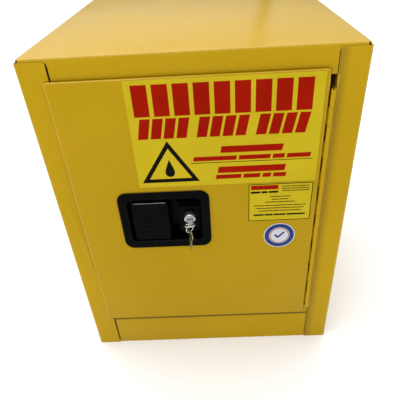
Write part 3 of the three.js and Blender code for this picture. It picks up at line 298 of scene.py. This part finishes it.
# pale grey, painted as a highlight on the paddle's long upper edge
HIGHLIGHT_STRIP = make_vinyl("paddle_painted_highlight", (0.75, 0.75, 0.77), (0.55, 0.55, 0.57), shine=0.5)
SATIN = make_metal("satin_nickel", (0.80, 0.80, 0.79), (0.60, 0.60, 0.59), 0.34, FORE_AND_AFT, spots=0.25)
ZINC = make_zinc("zinc_plate")
STEEL = make_metal("steel", (0.50, 0.50, 0.50), (0.36, 0.36, 0.365), 0.32, UPRIGHT, spots=0.35)
BLACK_STEEL = make_metal(
    "black_steel", (0.05, 0.05, 0.052), (0.025, 0.025, 0.027), 0.40, UPRIGHT, spots=0.3
)
CHROME = make_metal("chrome", (0.78, 0.79, 0.80), (0.62, 0.63, 0.65), 0.13, FORE_AND_AFT, 0.004 * MM)
NICKEL = make_metal("key_nickel", (0.62, 0.60, 0.54), (0.42, 0.40, 0.35), 0.22, ACROSS, spots=0.3)
BRASS = make_metal("brass", (0.60, 0.45, 0.20), (0.40, 0.28, 0.11), 0.30, PARTLY_UPRIGHT, spots=0.5)
WORN_BRASS = make_metal("key_brass", (0.36, 0.30, 0.17), (0.17, 0.135, 0.07), 0.26, ACROSS, spots=0.6)
RUBBER = make_rubber("rubber")
VINYL_YELLOW = make_vinyl("vinyl_yellow", (0.575, 0.435, 0.0080), (0.540, 0.408, 0.0065))
VINYL_WHITE = make_vinyl("vinyl_white", (0.65, 0.66, 0.67), (0.60, 0.61, 0.63))
INK_RED = make_vinyl("ink_red", (0.350, 0.0085, 0.0006), (0.305, 0.0065, 0.0004), shine=0.02)
INK_BLACK = make_vinyl("ink_black", (0.006, 0.0045, 0.003), (0.0035, 0.0028, 0.002), shine=0.03)
INK_BLUE = make_vinyl("ink_blue", (0.024, 0.053, 0.21), (0.018, 0.041, 0.17))

SLOTS = {
    "paint_yellow": PAINT,
    "zinc": ZINC,
    "steel": STEEL,
    "chrome": CHROME,
    "black_plastic": BLACK,
    "brass": BRASS,
    "rubber": RUBBER,
    "sticker_yellow": VINYL_YELLOW,
    "sticker_white": VINYL_WHITE,
}

# ---------- pieces ----------


def to_object(name, bm, *materials, smooth=35.0):
    """A scene object from a mesh, smooth except at edges sharper than the given angle in degrees."""
    bmesh.ops.recalc_face_normals(bm, faces=bm.faces)
    mesh = bpy.data.meshes.new(name)
    bm.to_mesh(mesh)
    bm.free()
    for material in materials:
        mesh.materials.append(material)
    mesh.shade_smooth()
    mesh.set_sharp_from_angle(angle=math.radians(smooth))
    made = bpy.data.objects.new(name, mesh)
    bpy.context.scene.collection.objects.link(made)
    return made


def ridden(piece, body, replaced=()):
    """Sets a piece on its body and the CAD nodes that it stands for."""
    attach(piece, body)
    if replaced:
        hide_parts(*replaced)


def round_edges(piece, width, segments, angle, edge_material=-1):
    """Rounds the edges sharper than angle, in degrees; -1 keeps the material of the faces beside them."""
    bevel = piece.modifiers.new("round", "BEVEL")
    bevel.width = width
    bevel.segments = segments
    bevel.limit_method = "ANGLE"
    bevel.angle_limit = math.radians(angle)
    bevel.use_clamp_overlap = False
    bevel.harden_normals = True
    bevel.miter_outer = "MITER_ARC"
    bevel.material = edge_material


def is_turned(normal):
    """Whether a face looks along no axis, as a fold or a rounded corner does."""
    return max(abs(c) for c in normal) < 0.995


def is_fold(normal):
    """A turned face that doesn't look down."""
    return is_turned(normal) and normal.z > -0.25


def is_sheltered(normal):
    """A turned face that looks down or towards the hinge, which is darkened as painted shade."""
    return is_turned(normal) and (normal.z < -0.1 or normal.x > 0.3)


def catches_light(line):
    """A long level edge between a face that looks up and one that looks forward."""
    if len(line.link_faces) != 2 or not line.is_convex:
        return False
    start, end = (v.co for v in line.verts)
    normals = [face.normal for face in line.link_faces]
    looks_up = max(n.z for n in normals) > 0.9
    looks_forward = min(n.y for n in normals) < -0.9
    return abs(start.x - end.x) > 12 * MM and looks_up and looks_forward


def dress(node, width=0.3 * MM, segments=2, angle=40, surface=None, edge=None, areas=(), painted_highlight=None):
    """A copy of a CAD node with its edges rounded, which stands for it.

    surface and edge are the materials of its faces and of the rounding, areas gives materials to faces
    by a test of their normal, and painted_highlight is the material of a wider rounding along level upper
    edges: a paler strip, painted as a highlight.
    """
    bm = bmesh.new()
    bm.from_mesh(NODES[node].data)
    bmesh.ops.remove_doubles(bm, verts=bm.verts, dist=0.002 * MM)
    bmesh.ops.dissolve_limit(
        bm, angle_limit=math.radians(0.4), verts=bm.verts, edges=bm.edges, delimit=set()
    )
    bm.normal_update()
    for face in bm.faces:
        passed = [i for i, (material, test) in enumerate(areas) if test(face.normal)]
        face.material_index = 2 + passed[0] if passed else 0
    main = surface or SLOTS[SLOT_OF[node]]
    surfaces = [main, edge or main, *(material for material, test in areas)]
    # a wider rounding along level upper edges, in a paler material: a painted highlight
    if painted_highlight:
        surfaces.append(painted_highlight)
        bmesh.ops.bevel(
            bm,
            geom=[line for line in bm.edges if catches_light(line)],
            offset=1.2 * MM,
            offset_type="OFFSET",
            segments=4,
            profile=0.5,
            affect="EDGES",
            material=len(surfaces) - 1,
        )
    piece = to_object("shown_" + node, bm, *surfaces, smooth=angle)
    round_edges(piece, width, segments, angle, 1 if edge else -1)
    ridden(piece, BODY_OF[node], [node])


def keep(node):
    """A CAD node whose shape is right stays, with its procedural material."""
    mesh = NODES[node].data
    mesh.materials.clear()
    mesh.materials.append(BLACK_STEEL if node == "paddle_pin" else SLOTS[SLOT_OF[node]])


def ring_points(outline, y):
    return [Vector((x, y, z)) for x, z in outline]


def rounded_outline(u, v, width, height, corner, steps=6):
    """The points of a rounded rectangle round (u, v), anticlockwise from its upper right corner."""
    points = []
    for quarter, (su, sv) in enumerate([(1, 1), (-1, 1), (-1, -1), (1, -1)]):
        for k in range(steps + 1):
            turn = FULL_TURN / 4 * (quarter + k / steps)
            across = u + su * (width / 2 - corner) + corner * math.cos(turn)
            up = v + sv * (height / 2 - corner) + corner * math.sin(turn)
            points.append((across, up))
    return points


def loft(bm, rings, closed=True):
    """A skin through rings of the same number of points, with its two ends closed or left open."""
    loops = [[bm.verts.new(p) for p in ring] for ring in rings]
    for a, b in zip(loops, loops[1:]):
        for i in range(len(a)):
            bm.faces.new((a[i - 1], a[i], b[i], b[i - 1]))
    if closed:
        bm.faces.new(loops[0])
        bm.faces.new(loops[-1])
    return loops


def centre(node):
    low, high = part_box(node)
    return (low + high) / 2


# ---------- stickers ----------

INK_FRONT = 0.05 * MM  # how far a layer of ink stands in front of its sticker
INK_BACK = INK_FRONT / 5
SLANT = 0.2  # how far a slanted block leans for each millimetre of its height


class Print:
    """Ink on a sticker: flat shapes placed in millimetres from the sticker's lower left corner."""

    def __init__(self, node):
        low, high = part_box(node)
        self.x = low.x
        self.z = low.z
        self.face = low.y
        self.body = BODY_OF[node]
        self.slot = SLOT_OF[node]
        self.inks = {}

    def ring(self, outline, reach):
        """The outline's points, reach in front of the sticker."""
        return ring_points([(self.x + u * MM, self.z + v * MM) for u, v in outline], self.face - reach)

    def shape(self, ink, outline):
        bm = self.inks.setdefault(ink, bmesh.new())
        loft(bm, [self.ring(outline, INK_FRONT), self.ring(outline, INK_BACK)])

    def border(self, ink, outer, inner):
        """A closed border between two outlines with the same number of points."""
        bm = self.inks.setdefault(ink, bmesh.new())
        corners = ((outer, INK_FRONT), (inner, INK_FRONT), (inner, INK_BACK), (outer, INK_BACK))
        loops = loft(bm, [self.ring(outline, reach) for outline, reach in corners], closed=False)
        for i in range(len(outer)):
            bm.faces.new((loops[3][i - 1], loops[3][i], loops[0][i], loops[0][i - 1]))

    def block(self, ink, u0, u1, v0, v1, slant=0.0):
        lean = slant * (v1 - v0)
        self.shape(ink, [(u0, v0), (u1, v0), (u1 + lean, v1), (u0 + lean, v1)])

    def row(self, ink, left, pitch, count, width, v0, v1, slant=0.0):
        """Equal blocks in a row."""
        for i in range(count):
            u = left + i * pitch
            self.block(ink, u, u + width, v0, v1, slant)

    def words(self, ink, u0, u1, v0, v1, lengths, slant=0.0):
        """A row of plain bars whose widths stand in the given proportions, a small gap apart."""
        gap = 0.45 * (v1 - v0)
        unit = (u1 - u0 - gap * (len(lengths) - 1)) / sum(lengths)
        u = u0
        for length in lengths:
            self.block(ink, u, u + unit * length, v0, v1, slant)
            u += unit * length + gap

    def finish(self, name):
        for ink, bm in self.inks.items():
            ridden(to_object(name + "_" + ink.name, bm, ink), self.body)


def rectangle(u0, u1, v0, v1):
    return [(u0, v0), (u1, v0), (u1, v1), (u0, v1)]


def circle(u, v, radius, count=48):
    turns = [FULL_TURN * i / count for i in range(count)]
    return [(u + radius * math.cos(turn), v + radius * math.sin(turn)) for turn in turns]


def drop(u, v, half_width, half_height, tip, count=24):
    """A falling drop: an ellipse that narrows upwards and is drawn out by tip at its top."""
    points = []
    for i in range(count):
        turn = FULL_TURN * i / count
        height = 0.5 + 0.5 * math.sin(turn)
        across = half_width * math.cos(turn) * (1 - 0.75 * height**1.5)
        points.append((u + across, v + half_height * math.sin(turn) + tip * height**3))
    return points


def print_warning():
    """Plain blocks where the real sticker has words, and a triangle round a plain drop."""
    ink = Print("warning_sticker")
    ink.row(INK_RED, left=9, pitch=26.7, count=9, width=20.8, v0=112, v1=156)
    for group in range(3):
        ink.row(INK_RED, left=9 + group * 80.5, pitch=17.6, count=4, width=14.0, v0=79, v1=109, slant=SLANT)
    for u0, u1, v0, v1, lengths in (
        (121, 207, 53, 63.5, (9,)),
        (82, 247, 41, 48, (11, 8, 3, 6)),
        (116, 212, 20, 30.5, (10,)),
        (113, 214, 10, 17, (6, 4, 2, 3)),
    ):
        ink.words(INK_RED, u0, u1, v0, v1, lengths, SLANT)
    ink.block(INK_BLACK, 79, 251, 37.4, 38.4)
    middle = 48
    outside = [(6, 8), (90, 8), (middle, 75)]
    inside = [(17, 14), (79, 14), (middle, 63.5)]
    ink.border(INK_BLACK, outside, inside)
    ink.shape(INK_BLACK, drop(middle, 28, half_width=8.5, half_height=11.0, tip=6))
    ink.finish("warning_print")


def print_data():
    """A bordered plate of thin plain lines."""
    ink = Print("data_sticker")
    ink.border(INK_BLACK, rectangle(0.9, 96.1, 0.9, 70.1), rectangle(2.2, 94.8, 2.2, 68.8))
    ink.block(INK_RED, 4.5, 45, 60, 67.5)
    for u0, u1, v0, v1, lengths in (
        (4.5, 45, 53.5, 57, (3, 2, 3)),
        (50, 91, 64, 65.3, (5, 3, 6)),
        (50, 91, 60, 61.3, (5, 3, 6)),
        (50, 91, 56, 57.3, (5, 3, 6)),
        (33, 64, 46, 47.4, (5, 4)),
        (36, 61, 41, 42.4, (4, 5)),
        (26, 71, 36, 37.4, (6, 3, 5)),
        (9, 88, 29.5, 30.9, (6, 4, 8, 3, 7)),
        (12, 85, 24.5, 25.9, (4, 8, 5, 6)),
        (16, 81, 19.5, 20.9, (7, 3, 6, 4)),
        (9, 88, 11, 14, (5, 4, 6, 9)),
    ):
        ink.words(INK_BLACK, u0, u1, v0, v1, lengths)
    ink.finish("data_print")


def print_round():
    """A ring and a plain tick."""
    ink = Print("round_sticker")
    middle = 25
    ink.border(INK_BLUE, circle(middle, middle, 23.5), circle(middle, middle, 16.5))
    ink.border(INK_RED, circle(middle, middle, 15.4), circle(middle, middle, 14.2))
    tick = [(16.5, 25.5), (18.8, 27.9), (22.8, 23.6), (31.4, 33.0), (33.6, 30.7), (22.8, 18.9)]
    ink.shape(INK_BLUE, tick)
    ink.finish("round_print")


# ---------- latch, lock and keys ----------

BOW_LENGTH = 15.8 * MM
BOW_WIDTH = 18 * MM
BLADE_HALF = 4.0 * MM
KEY_HALF = 1.0 * MM  # half the thickness of a key


def build_paddle_grip():
    """Two low thumb ridges with rounded tops on the paddle's face, in its lower half.

    Each has its distance below the paddle's middle, its width and its height, in millimetres.
    """
    middle = centre("paddle")
    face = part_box("paddle")[0].y
    bm = bmesh.new()
    for below, width, height in ((10.0, 15.0, 3.2), (2.5, 12.0, 2.6)):
        rings = []
        for shrink, rise in ((0.0, -0.1), (0.0, 0.35), (0.35, 0.6), (0.9, 0.7)):
            across = (width - 2 * shrink) * MM
            up = (height - 2 * shrink) * MM
            corner = (height / 2.1 - shrink) * MM
            outline = rounded_outline(middle.x - 3 * MM, middle.z - below * MM, across, up, corner)
            rings.append(ring_points(outline, face - rise * MM))
        loft(bm, rings)
    ridden(to_object("paddle_ridge", bm, BLACK), "paddle")


def merged(name, material, joined, removed):
    """One closed mesh: the first pieces joined, and the rest cut away."""
    base = joined[0]
    for operation, tools in (("UNION", joined[1:]), ("DIFFERENCE", removed)):
        for tool in tools:
            step = base.modifiers.new(operation, "BOOLEAN")
            step.operation = operation
            step.object = tool
            step.solver = "EXACT"
    bpy.context.view_layer.update()
    evaluated = base.evaluated_get(bpy.context.evaluated_depsgraph_get())
    bm = bmesh.new()
    bm.from_mesh(bpy.data.meshes.new_from_object(evaluated))
    bmesh.ops.remove_doubles(bm, verts=bm.verts, dist=0.001 * MM)
    for piece in (*joined, *removed):
        bpy.data.objects.remove(piece)
    return to_object(name, bm, material)


def slab(name, material, outline, half):
    """A flat plate across z, half as thick on each side of z = 0."""
    bm = bmesh.new()
    loft(bm, [[Vector((x, y, z)) for x, y in outline] for z in (-half, half)])
    return to_object(name, bm, material)


def blade_outline(length):
    """A blade along +y, with flats of different depth joined by slopes along one edge."""
    cuts = [cut * MM for cut in (0.6, 2.0, 1.2, 2.6, 1.6)]
    root = -1.0 * MM  # inside the bow
    uncut = 3.0 * MM  # what is left whole at each end
    step = (length - 2 * uncut) / len(cuts)
    points = [(BLADE_HALF, root), (BLADE_HALF, 0.8 * uncut)]
    for i, cut in enumerate(cuts):
        y = uncut + i * step
        flat = BLADE_HALF - cut
        peak = 3.7 * MM - 0.4 * cut
        points += [(flat, y + 0.2 * step), (flat, y + 0.55 * step), (peak, y + 0.9 * step)]
    points += [(3.0 * MM, length - 0.8 * uncut), (1.0 * MM, length), (-2.0 * MM, length)]
    return points + [(-BLADE_HALF, length - uncut), (-BLADE_HALF, root)]


def groove(name, material, length, side):
    """What is cut away to make the groove along one side of a blade."""
    floor = side * 0.55 * KEY_HALF
    mouth = side * 1.6 * KEY_HALF
    section = [(0.9 * side, floor), (2.0 * side, floor), (2.3 * side, mouth), (0.6 * side, mouth)]
    bm = bmesh.new()
    loft(bm, [[Vector((x * MM, y, z)) for x, z in section] for y in (-0.5 * MM, length + MM)])
    return to_object(name, bm, material)


def build_key(name, material):
    """A flat key along y: a round-cornered bow that ends at y = 0 and a cut blade beyond it."""
    low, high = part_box("spare_key")
    length = high.z - low.z - BOW_LENGTH
    bow_outline = rounded_outline(0, -BOW_LENGTH / 2, BOW_WIDTH, BOW_LENGTH, corner=6 * MM, steps=8)
    hole_middle = 4.3 * MM - BOW_LENGTH
    hole_outline = rounded_outline(0, hole_middle, width=12 * MM, height=5 * MM, corner=2.4 * MM)
    bow = slab(name + "_bow", material, bow_outline, KEY_HALF)
    blade = slab(name + "_blade", material, blade_outline(length), KEY_HALF)
    hole = slab(name + "_hole", material, hole_outline, 2 * KEY_HALF)
    grooves = [groove(name + "_groove", material, length, side) for side in (-1, 1)]
    key = merged(name, material, [bow, blade], [hole, *grooves])
    round_edges(key, width=0.25 * MM, segments=2, angle=40)
    return key


def turned(degrees, axis):
    return Matrix.Rotation(math.radians(degrees), 4, axis)


def build_keys():
    """One key in the lock, almost level, and the spare hanging almost edge-on from the ring."""
    lock = centre("lock_housing")
    key = build_key("key_in_lock", NICKEL)
    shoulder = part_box("key")[0].y + BOW_LENGTH
    key.matrix_world = Matrix.Translation((lock.x, shoulder, lock.z)) @ turned(-6, "Y")
    ridden(key, "key", ["key"])
    spare = build_key("key_on_ring", WORN_BRASS)
    hang = centre("spare_key")
    hang.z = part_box("spare_key")[1].z - BOW_LENGTH
    spare.matrix_world = Matrix.Translation(hang) @ turned(-65, "Z") @ turned(-90, "X")
    ridden(spare, "spare", ["spare_key"])


def build_ring():
    """The small ring that joins the keys, as one round wire."""
    low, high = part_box("key_ring")
    wire = 0.6 * MM
    radius = (high.z - low.z) / 2 - wire
    around, section = 56, 12
    bm = bmesh.new()
    loops = []
    for i in range(around):
        turn = FULL_TURN * i / around
        loop = []
        for k in range(section):
            tilt = FULL_TURN * k / section
            reach = radius + wire * math.cos(tilt)
            point = (wire * math.sin(tilt), reach * math.cos(turn), reach * math.sin(turn))
            loop.append(bm.verts.new(point))
        loops.append(loop)
    for i in range(around):
        for k in range(section):
            bm.faces.new((loops[i - 1][k - 1], loops[i - 1][k], loops[i][k], loops[i][k - 1]))
    ring = to_object("ring_of_keys", bm, CHROME, smooth=180)
    ring.matrix_world = Matrix.Translation(centre("key_ring")) @ turned(-50, "Z")
    ridden(ring, "ring", ["key_ring"])


def build_spring():
    """The paddle's spring as a smooth coil."""
    low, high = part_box("paddle_spring")
    middle = centre("paddle_spring")
    wire = 0.45 * MM
    radius = (high.x - low.x) / 2 - wire
    rise = high.z - low.z - 2 * wire
    turns, steps, section = 6, 28, 8
    up = Vector((0, 0, 1))
    rings = []
    for i in range(turns * steps + 1):
        turn = FULL_TURN * i / steps
        out = Vector((math.cos(turn), math.sin(turn), 0))
        height = low.z + wire + rise * i / (turns * steps)
        point = Vector((middle.x, middle.y, height)) + out * radius
        tilts = [FULL_TURN * k / section for k in range(section)]
        rings.append([point + out * (wire * math.cos(t)) + up * (wire * math.sin(t)) for t in tilts])
    bm = bmesh.new()
    loft(bm, rings)
    spring = to_object("coil_of_paddle", bm, BLACK_STEEL, smooth=180)
    ridden(spring, "door", ["paddle_spring"])


# ---------- the whole cabinet ----------


def dress_shells():
    """The bent sheets of the body and the door, whose folds are glossier than their faces."""
    sheet = {"segments": 3, "angle": 32, "edge": PAINT_EDGE}
    body_folds = [(PAINT_BEND, is_fold)]
    # the door's folds that look down or towards the hinge are darkened as painted shade
    door_folds = [(PAINT_SHADED_FOLD, is_sheltered), (PAINT_BEND, is_fold)]
    for node, paint in (
        ("outer_top", PAINT),
        ("outer_side_left", PAINT),
        ("outer_side_right", PAINT_STILE_SHADOWED),
        ("sill_front", PAINT_SILL_SHADOWED),
    ):
        dress(node, width=0.35 * MM, surface=paint, areas=body_folds, **sheet)
    for node in ("liner_side_left", "liner_side_right", "sump_pan", "door_liner"):
        dress(node)
    dress("door_skin", surface=PAINT_DOOR, areas=door_folds, **sheet)


def dress_fittings():
    """Everything else whose edges would look too sharp as they are in the CAD model."""
    for node in ("hinge_leaf_frame", "hinge_leaf_door"):
        dress(node, width=0.35 * MM, angle=35)
    dress("shelf")
    # the latch pan's long upper edges get a paler strip: a painted highlight
    dress("latch_pan", width=0.4 * MM, segments=3, angle=32, painted_highlight=BLACK_HIGHLIGHT)
    # the paddle's long upper edge gets a pale strip: a painted highlight
    dress("paddle", width=0.4 * MM, segments=3, angle=32, painted_highlight=HIGHLIGHT_STRIP)
    dress("lock_housing", width=0.4 * MM, segments=3, angle=50, surface=SATIN)
    dress("lock_plug", width=0.5 * MM, segments=3, angle=50)
    for side in ("left", "right"):
        for node in ("vent_fitting_", "vent_cap_"):
            dress(node + side, width=0.5 * MM, segments=3)
        dress("vent_gasket_" + side)
        dress("flame_arrester_" + side, width=0.15 * MM)
        for place in ("front_", "rear_"):
            dress("shelf_clip_" + place + side, width=0.25 * MM)
    for node in ("ground_screw", "latch_bolt", "latch_rod_top", "latch_rod_bottom"):
        dress(node)
    for node in ("warning_sticker", "data_sticker", "round_sticker"):
        dress(node, width=0.08 * MM, segments=1)


dress_shells()
dress_fittings()
print_warning()
print_data()
print_round()
build_paddle_grip()
build_keys()
build_ring()
build_spring()
for node_name, shown in NODES.items():
    if not shown.hide_render:
        keep(node_name)

# ---------- studio ----------

FLOOR_REACH = 14.0  # half the floor's side
BACKDROP = 0.98  # how bright the plain background looks

# the room's brightness, as Nodes.between takes it: where it starts and ends, and what it is there
HORIZON_TO_ZENITH = (0.0, 1.0, 0.25, 2.15)
FRONT_TO_BACK = (-1.0, 1.0, 0.42, 1.44)
LEFT_TO_RIGHT = (-1.0, 1.0, 1.35, 0.65)
POST_AZIMUTH = 0.136  # radians from +Y to a dark post, which shows only as a reflection on the top
POST_TO_ROOM = (0.003, 0.022, 0.25, 1.0)

LAMP = (-0.9, -0.9, 2.4)
EYE = (0.0251, -0.7289, 0.7017)
PITCH, YAW, ROLL = 33.74, -1.88, -3.55  # degrees


def build_stage():
    bm = bmesh.new()
    bmesh.ops.create_grid(bm, x_segments=1, y_segments=1, size=FLOOR_REACH)
    to_object("floor", bm, make_floor("pale_floor"))


def strip_light(name, place, target, length, width, power):
    data = bpy.data.lights.new(name, "AREA")
    data.shape = "RECTANGLE"
    data.size = length
    data.size_y = width
    data.energy = power
    lamp = bpy.data.objects.new(name, data)
    lamp.location = place
    lamp.rotation_euler = (Vector(target) - Vector(place)).to_track_quat("-Z", "Y").to_euler()
    bpy.context.scene.collection.objects.link(lamp)


def build_room():
    """Soft light from all round: brighter overhead, behind the cabinet and on its left.

    The camera sees a plain background in its place.
    """
    world = bpy.data.worlds.new("soft_room")
    world.use_nodes = True
    room = Nodes(world.node_tree)
    x, y, z = room.split(room.node("TexCoord").outputs["Generated"])
    off_post = room.math("SUBTRACT", room.math("ARCTAN2", x, y), POST_AZIMUTH)
    strength = room.between(z, *HORIZON_TO_ZENITH)
    for value, spread in (
        (y, FRONT_TO_BACK),
        (x, LEFT_TO_RIGHT),
        (room.math("ABSOLUTE", off_post), POST_TO_ROOM),
    ):
        strength = room.math("MULTIPLY", strength, room.between(value, *spread))
    to_camera = room.node("LightPath").outputs["Is Camera Ray"]
    seen = room.node("Mix", {"Factor": to_camera, "A": strength, "B": BACKDROP}).outputs[0]
    background = world.node_tree.nodes["Background"]
    background.inputs["Color"].default_value = rgb(1.0, 1.0, 1.0)
    room.fill(background.inputs["Strength"], seen)
    bpy.context.scene.world = world
    bpy.context.scene.view_settings.view_transform = "Standard"


def build_camera():
    """A camera a little above the cabinet and close to it, looking down at the door."""
    data = bpy.data.cameras.new("camera")
    data.sensor_width = 36.0
    data.lens = 36.43
    data.shift_x = -0.016
    data.shift_y = -0.0365
    data.dof.use_dof = False
    camera = bpy.data.objects.new("camera", data)
    aim = turned(-YAW, "Z") @ turned(90, "X") @ turned(-PITCH, "X") @ turned(ROLL, "Z")
    camera.matrix_world = Matrix.Translation(EYE) @ aim
    bpy.context.scene.collection.objects.link(camera)
    bpy.context.scene.camera = camera


build_stage()
build_room()
strip_light("key", LAMP, (CAD_BOX[0] + CAD_BOX[1]) / 2, length=1.6, width=0.08, power=11)
build_camera()
